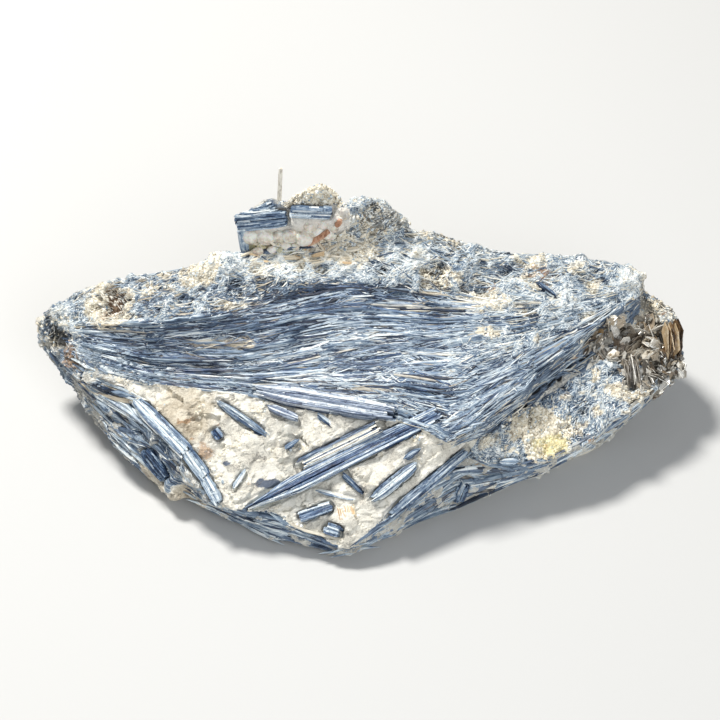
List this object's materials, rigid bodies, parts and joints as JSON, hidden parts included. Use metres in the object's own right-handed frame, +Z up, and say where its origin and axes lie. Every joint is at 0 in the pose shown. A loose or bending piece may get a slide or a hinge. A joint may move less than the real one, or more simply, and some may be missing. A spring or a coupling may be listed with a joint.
{
  "type": "kyanite blade cluster",
  "caption": "Broken boulder of pale blue kyanite blades fanned across one side, with a quartz face holding separate blades, a small crest block and mica at one end.",
  "frame": {"origin": "middle of the bottom of the bounding box, on the plane that the rock rests on", "axes": "+X along the boulder's length, +Y away from the quartz face, +Z up"},
  "size_m": [0.2678, 0.158, 0.11],
  "materials": {
    "rock": "broken kyanite and quartz, satin to dull",
    "blue_kyanite": "pearly striated blade",
    "pale_kyanite": "pearly striated blade",
    "dark_kyanite": "glossy dark blue blade",
    "mica": "pearly layered plates",
    "rusty_flake": "dull iron stain",
    "splinter": "dull"
  },
  "bodies": {
    "root": {"kyanite_quartz_mass": "rock", "long_blade": "blue_kyanite", "cream_blade": "pale_kyanite", "lilac_blade": "pale_kyanite", "lilac_splinter": "blue_kyanite", "diagonal_blade": "blue_kyanite", "edge_blade_upper": "pale_kyanite", "edge_blade_middle": "pale_kyanite", "edge_blade_lower": "pale_kyanite", "side_crystal": "dark_kyanite", "small_crystal": "dark_kyanite", "white_sliver": "pale_kyanite", "leaning_sliver": "dark_kyanite", "hook_sliver": "dark_kyanite", "lens_crystal": "blue_kyanite", "dark_sliver": "dark_kyanite", "faint_sliver": "pale_kyanite", "pale_blade": "pale_kyanite", "grey_edge_blade": "blue_kyanite", "stub_crystal": "blue_kyanite", "tip_crystal": "dark_kyanite", "corner_crystal": "dark_kyanite", "shelf_lens": "pale_kyanite", "felt_sliver": "dark_kyanite", "crest_blade_left": "dark_kyanite", "crest_blade_right": "blue_kyanite", "crest_blade_side": "blue_kyanite", "rusty_flake_large": "rusty_flake", "rusty_flake_small": "rusty_flake", "splinter": "splinter", "mica_book_gold": "mica", "mica_book_silver": "mica", "mica_fan": "mica"}
  },
  "joints": []
}
